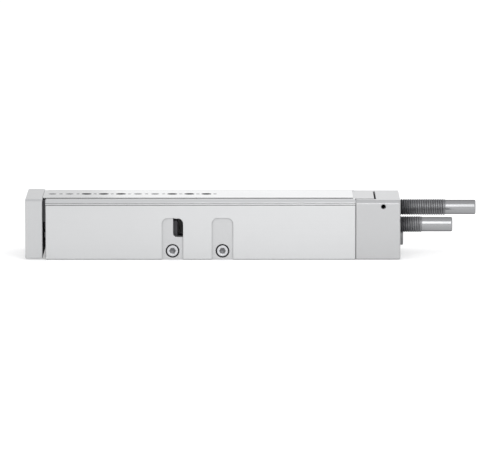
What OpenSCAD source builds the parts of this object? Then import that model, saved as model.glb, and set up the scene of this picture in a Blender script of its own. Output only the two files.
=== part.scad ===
/* [Stroke and housing] */
// Working stroke of the slide
stroke = 150; // [110:10:200]
// Length of guide that stays engaged when the slide is fully out
guide_overlap = 120; // [116:2:160]
// Width of the housing
body_w = 70; // [68:1:80]
// Height of the housing above its mounting face
body_h = 52.5; // [51:0.5:58]
// Chamfer along the top edges of the housing
edge_chamfer = 2.8; // [1:0.2:3.2]
// Height of the narrow band between the chamfer and the proud side face
band_h = 2.2; // [1.6:0.1:2.6]
// Depth of the step from the proud side face to the band
band_step = 0.4; // [0.2:0.1:0.8]
// Height of the fine grooves that border the band
groove_h = 0.5; // [0.3:0.05:0.6]
// Depth of the fine grooves that border the band
groove_t = 0.4; // [0.2:0.05:0.5]
// Small chamfer on the bottom and end edges
edge_break = 0.6; // [0.3:0.1:1]
// Chamfer along the top edges of the yoke plate
yoke_chamfer = 1.8; // [1:0.2:3]
// Length of the rear block
rear_block_l = 39; // [36:1:50]
// How far the rear block stands back from the housing's side faces
rear_inset = 0.5; // [0.4:0.1:1]
// Height of the travelling bracket's top above the rear block
bracket_proud = 0.3; // [0.1:0.1:0.8]
// How far the rear block's top lies below the housing's top
rear_drop = 0.5; // [0.2:0.1:0.8]

/* [Slide] */
// Width of the housing's top left standing on each side of the slide
land_w = 9.5; // [9:0.1:11]
// Height of the slide's top above the housing
slide_proud = 0.6; // [0.2:0.1:2]
// Chamfer along the slide's top edges
slide_edge = 0.2; // [0.1:0.1:0.5]
// Gap between the slide's edge and the housing on each side
slide_gap = 0.5; // [0.4:0.1:0.8]
// Thickness of the slide's top plate
plate_t = 6; // [5:0.5:7]
// Distance that the slide's flanks stand in from its top edges
flank_inset = 0.6; // [0.4:0.1:1]
// Thickness of the slide's legs
leg_t = 5.9; // [5.4:0.1:6.5]
// Width of the rib under the slide that takes the tapped holes
rib_w = 11; // [9:0.5:14]
// Depth of that rib below the top plate
rib_h = 5.5; // [4:0.5:6]
// Length by which the slide stops short of the housing's rear face
slide_setback = 2; // [1:0.5:4]
// Spacing of the holes along the slide's top
hole_pitch = 15; // [14:0.5:16]
// Number of large holes along the slide's top
hole_count = 10; // [5:1:12]
// Diameter of the centring counterbores on the slide and the yoke
centring_d = 9; // [8.5:0.5:10]
// Depth of the centring counterbores
centring_h = 2.1; // [1:0.1:3]

/* [Ball guide] */
// Height of the ball track's centre below the housing's top
guide_drop = 9.5; // [9:0.5:10]
// Ball diameter
ball_d = 5; // [4.4:0.1:5.2]
// Spacing of the balls in their cage
ball_pitch = 6.2; // [6:0.1:7]
// Length of a ball cage
cage_l = 110; // [90:5:112]
// Thickness of a ball cage
cage_t = 1.2; // [0.8:0.1:1.6]
// Height of a ball cage
cage_h = 8; // [7:0.5:8.5]
// Space between the slide's flank and the rail's face
guide_gap = 2.8; // [2.4:0.1:3]
// Play between a ball and the faces that it runs on
ball_play = 0.02; // [0.02:0.01:0.05]
// Thickness of a guide rail
rail_t = 3.8; // [3.4:0.1:4.2]
// Height of a guide rail
rail_h = 10; // [8.6:0.2:10]
// Length by which a rail stops short of each end of the housing
rail_setback = 1.5; // [1:0.5:3]
// Thickness of the wiper plates on the housing's front face
wiper_t = 1.8; // [1:0.1:2]

/* [Cylinder] */
// Bore of the cylinder
bore_d = 20; // [16:0.5:20]
// Height of the cylinder's axis above the middle of the solid part below the slide
cyl_lift = 1.1; // [0.5:0.1:1.5]
// Sideways offset of the cylinder's axis from the middle
cyl_y = 8; // [7:0.5:9]
// Piston rod diameter
rod_d = 8; // [6:0.5:9]
// Length of the piston
piston_l = 14; // [13:0.5:18]
// Diameter of the rod bearing cartridge
bearing_d = 18; // [16:0.5:20]
// Length of the rod bearing cartridge
bearing_l = 20; // [18:1:26]
// Diameter of the end plug behind the cylinder
plug_d = 21; // [20.5:0.5:22]
// How far the end plug stands out of the rear block
plug_out = 3.5; // [2:0.5:5]
// Diameter of the drilled air channels
air_d = 3.5; // [3:0.1:3.6]
// Diameter of an air port before its thread
port_d = 8.8; // [8.4:0.1:9]
// Depth of an air port
port_l = 10; // [9:0.5:11]

/* [Shock absorbers] */
// Thread diameter of a shock absorber
absorber_d = 14; // [12:0.5:14]
// Length of a shock absorber's body
absorber_l = 88; // [84:1:96]
// Length of the smooth rear end of the body
smooth_l = 26; // [16:0.5:32]
// Diameter of the smooth rear end
smooth_d = 12.5; // [11:0.1:13]
// Cushioned travel of a plunger
cushion = 12; // [6:1:14]
// Plunger rod diameter
plunger_d = 4; // [3:0.5:5]
// Diameter of the buffer on the plunger
buffer_d = 9; // [7:0.5:9.4]
// Length of the buffer
buffer_l = 5; // [3.5:0.5:6]
// How far the buffer still stands out of a fully pressed absorber
buffer_stand = 1.9; // [1:0.1:2.5]
// Sideways place of the fixed upper absorber
upper_y = 13; // [12:0.5:14]
// Height of the fixed upper absorber below the housing's top
upper_drop = 12.7; // [12.5:0.1:13]
// Distance of the travelling lower absorber's axis from the slide's near flank
lower_inset = 8.4; // [8:0.1:8.8]
// Height of the travelling lower absorber below the housing's top
lower_drop = 23.9; // [23.5:0.1:24]

/* [Side pockets] */
// Width of a side pocket
pocket_w = 18.5; // [14:0.5:22]
// Distance of a side pocket's top below the housing's top
pocket_drop = 16.1; // [15.6:0.1:20]
// Depth of a side pocket
pocket_t = 1.5; // [0.8:0.1:2]
// Radius of a side pocket's top corners
pocket_r = 5; // [2:0.5:6]
// Distance between the two side pockets
pocket_pitch = 43.5; // [30:0.5:60]
// Height of the pocket screws above the mounting face
pocket_screw_z = 7.5; // [7:0.1:9]
// Width of the window in the front pocket
window_w = 8.7; // [6:0.1:10]
// Radius of the window's lower corner
window_r = 3.2; // [2:0.2:4]

/* [Interfaces] */
// Distance between the two rows of mounting holes underneath
base_row = 55; // [50:1:58]
// Distance of the outer mounting holes from the housing's ends
base_end = 35; // [30:1:40]
// Spacing of the inner mounting holes along the housing
base_inner = 120; // [90:5:120]
// Depth of the mounting holes underneath
base_depth = 9; // [7:0.5:10]
// Spacing of the yoke plate's mounting holes across its face
yoke_pitch_y = 50; // [44:1:54]
// Spacing of the yoke plate's mounting holes up its face
yoke_pitch_z = 15; // [12:1:18]
// Spacing of the two dowel holes in the yoke plate's face
yoke_pin_pitch = 24; // [20:1:28]
// Height of those dowel holes above the lower mounting holes
yoke_pin_rise = 23.5; // [22:0.5:25]
// Diameter of the dowel holes
pin_d = 5; // [4:0.5:5]
// Depth of the dowel holes
pin_depth = 6; // [4:0.5:8]
// Thickness of the yoke plate
yoke_t = 15; // [12:0.5:20]
// Gap between the yoke plate and the housing
yoke_gap = 2.6; // [1:0.1:6]
// Height of the yoke plate's lower edge above the mounting face
yoke_lift = 0.9; // [0.5:0.1:2]
// Height of the upper sensor slot
slot_high = 28; // [27.5:0.1:28.5]
// Height of the lower sensor slot
slot_low = 18.5; // [18.2:0.1:19]

/* [Hidden] */
$fn = 72;
over = 1;           // how far a cut runs past the face it opens
joint_play = 0.05;  // radial play of screwed and slid-in round pieces
screw_play = 0.1;   // play on the diameter of a screw in its own tapped hole
side_play = 0.5;    // play between a sliding block and its channel
contact_gap = 0.1;  // gap left at each end stop
edge_play = 0.3;    // space between a wiper plate and the slide
screw_grip = 9.6;   // length of a screw held in the slide
rear_grip = 15.6;   // length of a rear block screw held in the housing
drill_spare = 2.4;  // depth of a tapped hole beyond its screw
head_sink = 0.6;    // depth of a screw head below the face that it's sunk in

// Depths below the housing's top
floor_drop = 19.7;  // floor of the channel
leg_play = 1.2;     // space between the slide's legs and that floor

// Housing and channel, from the top down
housing_l = stroke + guide_overlap;
front_x = -housing_l / 2;
rear_x = housing_l / 2;
side_y = body_w / 2;
slide_w = body_w - 2 * (land_w + slide_gap);
slide_top = body_h + slide_proud;
guide_z = body_h - guide_drop;
rail_top = guide_z + rail_h / 2;
channel_y = slide_w / 2 + slide_gap;
floor_z = body_h - floor_drop;
step_z = body_h - edge_chamfer - band_h;

// Slide and the faces that the balls run between
flank_y = slide_w / 2 - flank_inset;
leg_y = flank_y - leg_t;
plate_z = slide_top - plate_t;
rib_z = plate_z - rib_h;
leg_z = floor_z + leg_play;
rail_y = flank_y + guide_gap;
ball_y = flank_y + guide_gap / 2;
groove_side = ball_d + 2 * ball_play;

// Stations along the table
yoke_back = front_x - yoke_gap;
yoke_front = yoke_back - yoke_t;
slide_x = rear_x - slide_setback;
bracket_l = 18.2;
bracket_x = slide_x + bracket_l;
end_gap = 1.8;
wall_x = bracket_x + end_gap;
block_x = rear_x + rear_block_l;
block_y = side_y - rear_inset;
block_top = body_h - rear_drop;
block_bottom = 0.3;
pocket_h = body_h - pocket_drop;

// Shock absorbers: the upper one is fixed, the lower one travels with the slide
absorber_r = absorber_d / 2;
upper_z = body_h - upper_drop;
lower_z = body_h - lower_drop;
lower_y = lower_inset - flank_y;
upper_x = bracket_x + contact_gap + buffer_stand;
nose = 1.3;         // how far the lower absorber stands into the slide
lower_x = slide_x - nose;
stop_x = lower_x - buffer_stand - contact_gap - stroke;
socket_l = buffer_l + 1;
plunger_l = 34;

// Deep part of the channel, in which the lower absorber travels
deep_z = lower_z - absorber_r - 1.9;
deep_y = lower_y + absorber_r + 2;
arm_y0 = -flank_y;
arm_y1 = deep_y - side_play;
arm_z = deep_z + side_play;
stop_l = 15.7;

// Stop block's foot and the screws that draw it to the wall
clamp_wall = 3;
foot_y = -channel_y + 1.3;
foot_t = 10;
foot_z = 3.2;
foot_play = 0.2;
stop_screw_x = stop_x - 4.1;
stop_grip = 8;      // length of a stop screw held in the foot
foot_x0 = stop_x - stop_l;
foot_x1 = stop_screw_x + pocket_pitch + 9;

// Cylinder
cyl_z = floor_z / 2 + cyl_lift;
bore_r = bore_d / 2;
plug_nose = 6;
rod_sink = 4;       // how far the rod stands into the yoke plate
rod_grip = 10.6;    // length of the rod screw held in the rod
piston_rear = rear_x - plug_nose + 1 - 2;
piston_front = piston_rear - piston_l;
chamber_x = piston_front - stroke - 1.5;
air_x = chamber_x + air_d;
air_y = cyl_y + 14.5;
air_z = cyl_z - 5;
port_z = 14;
port_rear_x = rear_x + 11;
port_front_x = port_rear_x + 18;

// Retaining ring in front of the rod bearing and the groove that it sits in
ring_x = 0.9;       // its distance behind the housing's front face
ring_t = 1;
ring_grip = 0.9;    // how far it stands out of the bearing's bore
ring_play = 0.1;

// Small holes in the rear block: the absorber's set screw and the tapped hole in the near face
lock_x = block_x - 10;
lock_l = 8;
tap_x = block_x - 14.8;
tap_z = body_h - 6.1;
tap_depth = 12;

// Sensor slots and the small plates at the rail ends
slot_d = 5.2;
slot_mouth = 3.4;
rail_stop_l = 2.5;
rail_stop_t = 1.4;

// Socket head cap screws: thread diameter, head diameter, head height, hexagon across flats
m25 = [2.5, 4.7, 1.2, 1.5];
m4 = [4, 7, 4, 3];
m5 = [5, 8.5, 5, 4];
m6 = [6, 10, 6, 5];
tap4 = 3.3;
tap5 = 4.2;
tap6 = 5;

// Screws through both end faces of the slide, as points across the section
slide_end_holes = [for (s = [-1, 1]) each [[s * (flank_y - 3), guide_z - 4.5],
    [s * (flank_y - 3.6), guide_z + 4.5]]];
// Screws that hold the rear block on the housing
block_holes = [for (s = [-1, 1]) each [[s * (side_y - 7), 6], [s * (side_y - 4.8), guide_z - 9]]];
m4_sink = m4[2] + head_sink;
m5_sink = m5[2] + head_sink;

// Wiper plates and their screws
wiper_inset = 1;
wiper_z = guide_z - rail_h / 2 - 5;
wiper_screw_l = 6;
wiper_screw_y = side_y - 5;
wiper_screw_z = floor_z + 3;

// ---- helpers ----

// A profile drawn across the table (Y to the right, Z up), run along X
module along(x0, x1) {
    translate([x0, 0, 0]) rotate([90, 0, 90]) linear_extrude(x1 - x0) children();
}

// A profile drawn on the near side face (X to the right, Z up), run inwards from y0 to y1
module inward(y0, y1) {
    translate([0, y1, 0]) rotate([90, 0, 0]) linear_extrude(y1 - y0) children();
}

// A round bar or drill along X
module bar(x0, x1, y, z, d) {
    translate([x0, y, z]) rotate([0, 90, 0]) cylinder(h = x1 - x0, d = d);
}

// A round bar or drill along Y
module cross_bar(y0, y1, x, z, d) {
    translate([x, y1, z]) rotate([90, 0, 0]) cylinder(h = y1 - y0, d = d);
}

// A solid of revolution about an axis along X, from [radius, x] points
module turned(x, y, z) {
    translate([x, y, z]) rotate([0, 90, 0]) rotate_extrude() children();
}

// A rectangle with different chamfers on its lower and upper corners
module chamfered(w, z0, z1, low, high) {
    polygon([[-w / 2 + low, z0], [w / 2 - low, z0], [w / 2, z0 + low], [w / 2, z1 - high],
        [w / 2 - high, z1], [-w / 2 + high, z1], [-w / 2, z1 - high], [-w / 2, z0 + low]]);
}

// Everything between two stations along X, with both end edges broken all round
module broken_ends(x0, x1, w, z0, z1, b) {
    intersection() {
        translate([0, 0, z0]) linear_extrude(z1 - z0)
            polygon([[x0 + b, -w / 2], [x1 - b, -w / 2], [x1, -w / 2 + b], [x1, w / 2 - b],
                [x1 - b, w / 2], [x0 + b, w / 2], [x0, w / 2 - b], [x0, -w / 2 + b]]);
        inward(-w / 2 - over, w / 2 + over)
            polygon([[x0 + b, z0], [x1 - b, z0], [x1, z0 + b], [x1, z1 - b],
                [x1 - b, z1], [x0 + b, z1], [x0, z1 - b], [x0, z0 + b]]);
    }
}

// Socket head cap screw with its head's seat at the origin, pointing along -Z
module cap_screw(size, l) {
    head = size[1];
    head_h = size[2];
    difference() {
        union() {
            rotate_extrude()
                polygon([[0, 0], [head / 2, 0], [head / 2, head_h - 0.5], [head / 2 - 0.5, head_h],
                    [0, head_h]]);
            translate([0, 0, -l]) cylinder(h = l, d = size[0]);
        }
        translate([0, 0, head_h * 0.45]) cylinder(h = head_h, d = size[3] / cos(30), $fn = 6);
    }
}

// Diamond that cuts the four faces on which the balls of both guides run
module ball_grooves() {
    for (s = [-1, 1])
        translate([s * ball_y, guide_z]) rotate(45) square(groove_side, center = true);
}

// The open channel shared by the housing and the rear block
module channel_profile() {
    translate([-channel_y, floor_z]) square([2 * channel_y, body_h]);
}

module deep_profile() {
    translate([-channel_y, deep_z]) square([deep_y + channel_y, body_h]);
}

// ---- housing ----

module housing_profile() {
    w = side_y;
    n = side_y - band_step;
    top = body_h - edge_chamfer;
    difference() {
        polygon([[-w + edge_break, 0], [w - edge_break, 0], [w, edge_break], [w, step_z], [n, step_z],
            [n, top], [n - edge_chamfer, body_h], [-n + edge_chamfer, body_h], [-n, top],
            [-n, step_z], [-w, step_z], [-w, edge_break]]);
        for (s = [-1, 1]) {
            for (z = [step_z + groove_h / 2, top - groove_h / 2])
                translate([s * n, z]) square([2 * groove_t, groove_h], center = true);
        }
        channel_profile();
        for (s = [-1, 1])
            translate([s * (rail_y + rail_t / 2), guide_z])
                square([rail_t + 2 * (rail_y - channel_y) + 0.1, rail_h], center = true);
        for (z = [slot_low, slot_high]) translate([side_y, z]) sensor_slot();
    }
}

// Round-bottomed slot with a narrow mouth, open to the right of the origin
module sensor_slot() {
    translate([-slot_mouth, 0]) circle(d = slot_d);
    translate([-slot_mouth, -slot_mouth / 2]) square([slot_mouth + over, slot_mouth]);
}

// Outline of a side pocket, standing on the housing's lower edge
module pocket_profile() {
    translate([-pocket_w / 2, -over]) square([pocket_w, pocket_h - pocket_r + over]);
    translate([-pocket_w / 2 + pocket_r, 0]) square([pocket_w - 2 * pocket_r, pocket_h]);
    for (s = [-1, 1]) translate([s * (pocket_w / 2 - pocket_r), pocket_h - pocket_r]) circle(pocket_r);
}

// The window takes the upper right part of a pocket, with its lower left corner rounded
module window_profile() {
    left = pocket_w / 2 - window_w;
    intersection() {
        pocket_profile();
        union() {
            translate([left, deep_z + window_r]) square([window_w, pocket_h]);
            translate([left + window_r, deep_z]) square([window_w - window_r, pocket_h]);
            translate([left + window_r, deep_z + window_r]) circle(window_r);
        }
    }
}

module stop_screw_places() {
    for (i = [0, 1])
        translate([stop_screw_x + i * pocket_pitch, foot_y - clamp_wall, pocket_screw_z]) children();
}

module housing() color("#d3d4d6") difference() {
    intersection() {
        along(front_x, rear_x) housing_profile();
        broken_ends(front_x, rear_x, body_w, 0, body_h, edge_break);
    }
    // deep channel and the slot for the stop block's foot
    along(foot_x0 - foot_play, rear_x + over) deep_profile();
    translate([foot_x0 - foot_play, foot_y - foot_play, foot_z - foot_play])
        cube([foot_x1 - foot_x0 + 2 * foot_play, foot_t + 2 * foot_play, deep_z]);
    // side pockets, the window and the seats of the two stop screws
    for (i = [0, 1]) translate([stop_screw_x + i * pocket_pitch, 0, 0])
        inward(-side_y - over, -side_y + pocket_t) pocket_profile();
    translate([stop_screw_x, 0, 0]) inward(-side_y - over, -channel_y + over) window_profile();
    stop_screw_places() {
        cross_bar(-side_y, 0, 0, 0, m6[1] + 2);
        cross_bar(-over, clamp_wall + over, 0, 0, m6[0] + 0.6);
    }
    // cylinder, rod passage and bearing seat
    bar(chamber_x, rear_x + over, cyl_y, cyl_z, bore_d);
    bar(front_x, chamber_x + over, cyl_y, cyl_z, rod_d + 2);
    bar(front_x - over, front_x + bearing_l, cyl_y, cyl_z, bearing_d);
    bar(front_x + ring_x - ring_play, front_x + ring_x + ring_t + ring_play, cyl_y, cyl_z,
        bearing_d + 2 * (ring_grip + ring_play));
    // air channel to the front chamber
    bar(air_x - air_d / 2, rear_x + over, air_y, air_z, air_d);
    cross_bar(cyl_y, side_y + over, air_x, air_z, air_d);
    // screw holes for the rear block
    for (p = block_holes)
        bar(rear_x - rear_grip - drill_spare, rear_x + over, p[0], p[1], m4[0] + screw_play);
    // screw holes for the wiper plates
    for (s = [-1, 1]) bar(front_x - over, front_x + wiper_screw_l, s * wiper_screw_y, wiper_screw_z,
        m25[0] + screw_play);
    // mounting holes and dowel holes underneath
    for (x = [-1, 1], y = [-1, 1]) {
        translate([x * (housing_l / 2 - base_end), y * base_row / 2, -over])
            cylinder(h = base_depth + over, d = tap6);
        translate([x * base_inner / 2, y * base_row / 2, -over])
            cylinder(h = base_depth + over, d = tap6);
    }
    for (x = [-1, 1]) translate([x * (housing_l / 2 - base_end), 0, -over])
        cylinder(h = pin_depth + over, d = pin_d);
}

module rail(side) color("#9ea2a7") difference() {
    along(front_x + rail_setback, rear_x - rail_setback)
        translate([side * (rail_y + rail_t / 2), guide_z]) square([rail_t, rail_h], center = true);
    along(front_x, rear_x) ball_grooves();
}

module near_rail() rail(-1);
module far_rail() rail(1);

// Small plates at the rail ends that keep the ball cages in
module rail_stops() color("#6f7379")
    for (side = [-1, 1], end = [-1, 1])
        translate([end * (rear_x - rail_setback - 2), side * (rail_y - rail_stop_t / 2), guide_z])
            cube([rail_stop_l, rail_stop_t, rail_h - 1], center = true);

module stop_block() color("#a9adb2") difference() {
    top = leg_z - 0.6;
    b = edge_break;
    union() {
        // the post that the lower absorber meets
        along(foot_x0, stop_x) polygon([[arm_y0, deep_z], [arm_y1, deep_z], [arm_y1, top - b],
            [arm_y1 - b, top], [arm_y0 + b, top], [arm_y0, top - b]]);
        // the foot that lies in the slot below it
        translate([foot_x0, foot_y, foot_z]) cube([foot_x1 - foot_x0, foot_t, deep_z - foot_z]);
    }
    stop_screw_places() cross_bar(0, clamp_wall + stop_grip + 1, 0, 0, m6[0] + screw_play);
}

module stop_screws() color("#b9bcc0")
    stop_screw_places() rotate([90, 0, 0]) cap_screw(m6, clamp_wall + stop_grip);

// ---- rear block ----

module rear_block() color("#cbccce") difference() {
    intersection() {
        along(rear_x, block_x)
            chamfered(2 * block_y, block_bottom, block_top, edge_break / 2, edge_chamfer - 0.2);
        broken_ends(rear_x, block_x, 2 * block_y, block_bottom, block_top, edge_break);
    }
    along(rear_x - over, wall_x) {
        channel_profile();
        deep_profile();
    }
    // absorbers: a thread for the fixed one, a clearance hole for the travelling one
    bar(rear_x, block_x + over, upper_y, upper_z, absorber_d);
    bar(rear_x, block_x + over, lower_y, lower_z, absorber_d + 1);
    bar(rear_x - over, block_x + over, cyl_y, cyl_z, plug_d);
    // air ports and their channels
    cross_bar(block_y - port_l, block_y + over, port_front_x, port_z, port_d);
    cross_bar(block_y - port_l, block_y + over, port_rear_x, port_z, port_d);
    cross_bar(cyl_y + plug_d / 4, block_y, port_rear_x, port_z, air_d);
    cross_bar(air_y, block_y, port_front_x, port_z, air_d);
    bar(rear_x - over, port_front_x, air_y, air_z, air_d);
    bar(rear_x - over, rear_x + 0.8, air_y, air_z, air_d + 3);
    // set screw hole on the far side and the small tapped hole on the near side
    cross_bar(upper_y, block_y + over, lock_x, upper_z, tap5);
    cross_bar(-block_y - over, -block_y + tap_depth, tap_x, tap_z, tap5);
    // screws into the housing, with their heads sunk in the rear face
    for (p = block_holes) {
        bar(rear_x - over, block_x + over, p[0], p[1], m4[0] + 0.4);
        bar(block_x - m4_sink, block_x + over, p[0], p[1], m4[1] + 0.6);
    }
}

module rear_block_screws() color("#8d9096")
    for (p = block_holes)
        translate([block_x - m4_sink, p[0], p[1]]) rotate([0, 90, 0])
            cap_screw(m4, rear_block_l - m4_sink + rear_grip);

// Plug that closes the cylinder; a groove and a drilled passage bring the air in
module end_plug() color("#c2c4c8") difference() {
    r = plug_d / 2 - joint_play;
    nose_r = bore_r - joint_play;
    end = rear_block_l + plug_out;
    groove = port_rear_x - rear_x;
    turned(rear_x, cyl_y, cyl_z)
        polygon([[0, -plug_nose], [nose_r - 0.6, -plug_nose], [nose_r, -plug_nose + 0.6],
            [nose_r, -3.4], [nose_r - 1.4, -3.4], [nose_r - 1.4, -1.4], [nose_r, -1.4], [nose_r, 0],
            [r, 0], [r, groove - 2.5], [r - 2, groove - 2.5], [r - 2, groove + 2.5], [r, groove + 2.5],
            [r, end - 0.8], [r - 0.8, end], [0, end]]);
    bar(rear_x - plug_nose - over, port_rear_x + 2, cyl_y, cyl_z, air_d);
    cross_bar(cyl_y, cyl_y + r, port_rear_x, cyl_z, air_d);
    translate([block_x + plug_out - 6, cyl_y, cyl_z]) rotate([0, 90, 0])
        cylinder(h = 6 + over, d = 8 / cos(30), $fn = 6);
}

module end_plug_seal() color("#26272a")
    turned(rear_x - 2.4, cyl_y, cyl_z) translate([bore_r - 0.75, 0]) circle(d = 1.4);

module channel_plug() color("#8d9096") cross_bar(side_y - 6, side_y - 1, air_x, air_z, air_d);

module channel_seal() color("#26272a")
    turned(rear_x + 0.4, air_y, air_z) translate([air_d / 2 + 0.7, 0]) circle(d = 0.78);

module rod_bearing() color("#b08d57") difference() {
    r = bearing_d / 2 - joint_play;
    hole = rod_d / 2 + joint_play;
    turned(front_x, cyl_y, cyl_z)
        polygon([[hole, 2.1], [hole + 2.5, 2.1], [r - 0.5, 2.1], [r, 2.6], [r, bearing_l],
            [hole + 2.2, bearing_l], [hole + 2.2, bearing_l - 4], [hole, bearing_l - 4]]);
    bar(front_x + 2, front_x + 5, cyl_y, cyl_z, rod_d + 5);
}

module rod_seal() color("#26272a")
    turned(front_x, cyl_y, cyl_z)
        polygon([[rod_d / 2 + joint_play, bearing_l - 3.9], [rod_d / 2 + 2.2, bearing_l - 3.9],
            [rod_d / 2 + 2.2, bearing_l - 0.4], [rod_d / 2 + 1.6, bearing_l - 0.4],
            [rod_d / 2 + 1.2, bearing_l - 1.6], [rod_d / 2 + joint_play, bearing_l - 0.9]]);

module rod_wiper() color("#26272a")
    turned(front_x, cyl_y, cyl_z)
        polygon([[rod_d / 2 + joint_play, 2.4], [rod_d / 2 + 0.6, 2.2], [rod_d / 2 + 2.45, 2.6],
            [rod_d / 2 + 2.45, 4.9], [rod_d / 2 + 0.9, 4.9]]);

// Retaining ring in front of the bearing, open at the top, with its two eyes
module bearing_circlip() color("#4a4d52") difference() {
    r = bearing_d / 2 + ring_grip;
    x0 = front_x + ring_x;
    x1 = x0 + ring_t;
    eye_y = 2.6;
    eye_z = cyl_z + r - 3.4;
    union() {
        turned(x0, cyl_y, cyl_z) translate([r - 2.4, 0]) square([2.4, ring_t]);
        for (s = [-1, 1]) bar(x0, x1, cyl_y + s * eye_y, eye_z, 2.8);
    }
    translate([x0 - over, cyl_y - 1.1, cyl_z]) cube([ring_t + 2 * over, 2.2, r + over]);
    for (s = [-1, 1]) bar(x0 - over, x1 + over, cyl_y + s * eye_y, eye_z, 1.2);
}

// Wiper plates that close the ball guide at the front, one on each side of the slide
module wiper_outline() {
    outer = side_y - wiper_inset;
    top = body_h - wiper_inset;
    bevel = edge_chamfer - 0.5;
    edge = slide_w / 2 + edge_play;
    low = rail_top - edge_play;
    polygon([[flank_y + edge_play, wiper_z], [outer, wiper_z], [outer, top - bevel],
        [outer - bevel, top], [edge, top], [edge, low], [flank_y + edge_play, low]]);
}

module guide_wipers() color("#26272a") difference() {
    along(front_x - wiper_t, front_x) for (s = [0, 1]) mirror([s, 0]) wiper_outline();
    for (s = [-1, 1]) {
        bar(front_x - wiper_t, front_x + over, s * wiper_screw_y, wiper_screw_z, m25[0] + 0.3);
        translate([front_x - wiper_t - joint_play, s * wiper_screw_y, wiper_screw_z]) rotate([0, 90, 0])
            cylinder(h = m25[2] + joint_play, d1 = m25[1] + 0.3, d2 = m25[0] + 0.3);
    }
}

// Countersunk screws that hold the wiper plates
module wiper_screws() color("#8d9096") for (s = [-1, 1]) difference() {
    turned(front_x - wiper_t, s * wiper_screw_y, wiper_screw_z)
        polygon([[0, 0], [m25[1] / 2, 0], [m25[0] / 2, m25[2]], [m25[0] / 2, wiper_t + wiper_screw_l - 1],
            [0, wiper_t + wiper_screw_l - 1]]);
    translate([front_x - wiper_t - over, s * wiper_screw_y, wiper_screw_z]) rotate([0, 90, 0])
        cylinder(h = over + 0.9, d = m25[3] / cos(30), $fn = 6);
}

// ---- shock absorbers ----

// Body: threaded from the front, smooth behind, with a recess that takes the buffer
module absorber_body(x, y, z) {
    r = absorber_r - joint_play;
    s = smooth_d / 2;
    thread_l = absorber_l - smooth_l;
    difference() {
        turned(x, y, z)
            polygon([[0, 0], [r - 0.6, 0], [r, 0.6], [r, thread_l - 0.8], [s, thread_l],
                [s, absorber_l - 0.8], [s - 0.8, absorber_l], [0, absorber_l]]);
        bar(x - over, x + socket_l, y, z, buffer_d + 0.6);
        bar(x, x + plunger_l + cushion, y, z, plunger_d + 2 * joint_play);
        translate([x + absorber_l - 3, y, z]) rotate([0, 90, 0])
            cylinder(h = 3 + over, d = 4 / cos(30), $fn = 6);
    }
}

// Plunger with its tip's shoulder at x, reaching back into the body
module absorber_plunger(x, y, z) {
    r = plunger_d / 2;
    turned(x, y, z)
        polygon([[0, 1.5], [r - 0.5, 1.5], [r, 2], [r, plunger_l], [0, plunger_l]]);
}

module absorber_buffer(x, y, z) {
    r = buffer_d / 2;
    turned(x, y, z)
        polygon([[0, 0], [r - 1.4, 0], [r - 0.4, 0.4], [r, 1.4], [r, buffer_l], [plunger_d / 2, buffer_l],
            [plunger_d / 2, 2], [plunger_d / 2 - 0.5, 1.5], [0, 1.5]]);
}

module upper_absorber() color("#7c7f84") absorber_body(upper_x, upper_y, upper_z);
module upper_plunger() color("#d8dadd") absorber_plunger(upper_x - buffer_stand, upper_y, upper_z);
module upper_buffer() color("#303236") absorber_buffer(upper_x - buffer_stand, upper_y, upper_z);
module lower_absorber() color("#7c7f84") absorber_body(lower_x, lower_y, lower_z);
module lower_plunger() color("#d8dadd")
    absorber_plunger(lower_x - buffer_stand - cushion, lower_y, lower_z);
module lower_buffer() color("#303236")
    absorber_buffer(lower_x - buffer_stand - cushion, lower_y, lower_z);

module absorber_lock_screw() color("#6f7379") difference() {
    y0 = upper_y + absorber_r;
    cross_bar(y0, y0 + lock_l, lock_x, upper_z, tap5 - screw_play);
    translate([lock_x, y0 + lock_l + over, upper_z]) rotate([90, 0, 0])
        cylinder(h = 3 + over, d = 2.5 / cos(30), $fn = 6);
}

// ---- slide and what travels with it ----

module slide_profile() difference() {
    union() {
        chamfered(slide_w, rail_top, slide_top, 0, slide_edge);
        chamfered(2 * flank_y, leg_z, rail_top + over, 0.6, 0);
    }
    difference() {
        chamfered(2 * leg_y, leg_z - over, plate_z, 0, 1.2);
        chamfered(rib_w, rib_z, plate_z + over, 0.6, 0);
    }
    ball_grooves();
}

module slide() color("#e6e8ea") difference() {
    tap_l = screw_grip + drill_spare;
    along(yoke_back, slide_x) slide_profile();
    // the row of tapped holes along the top, with centring seats in groups of three
    for (i = [0 : hole_count - 1]) translate([yoke_back + (i + 0.5) * hole_pitch, 0, slide_top]) {
        translate([0, 0, -9.5]) cylinder(h = 9.5 + over, d = tap6);
        if (i % 5 >= 2)
            translate([0, 0, -centring_h]) cylinder(h = centring_h + over, d = centring_d);
        else
            translate([0, 0, -1.2]) cylinder(h = 1.25, d1 = tap6, d2 = tap6 + 2.5);
        translate([hole_pitch / 2, 0, -6]) cylinder(h = 6 + over, d = tap4);
    }
    // room for the nose of the lower absorber
    bar(lower_x - over, slide_x + over, lower_y, lower_z, absorber_d + 1);
    for (p = slide_end_holes) {
        bar(yoke_back - over, yoke_back + tap_l, p[0], p[1], m4[0] + screw_play);
        bar(slide_x - tap_l, slide_x + over, p[0], p[1], m4[0] + screw_play);
    }
}

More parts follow.
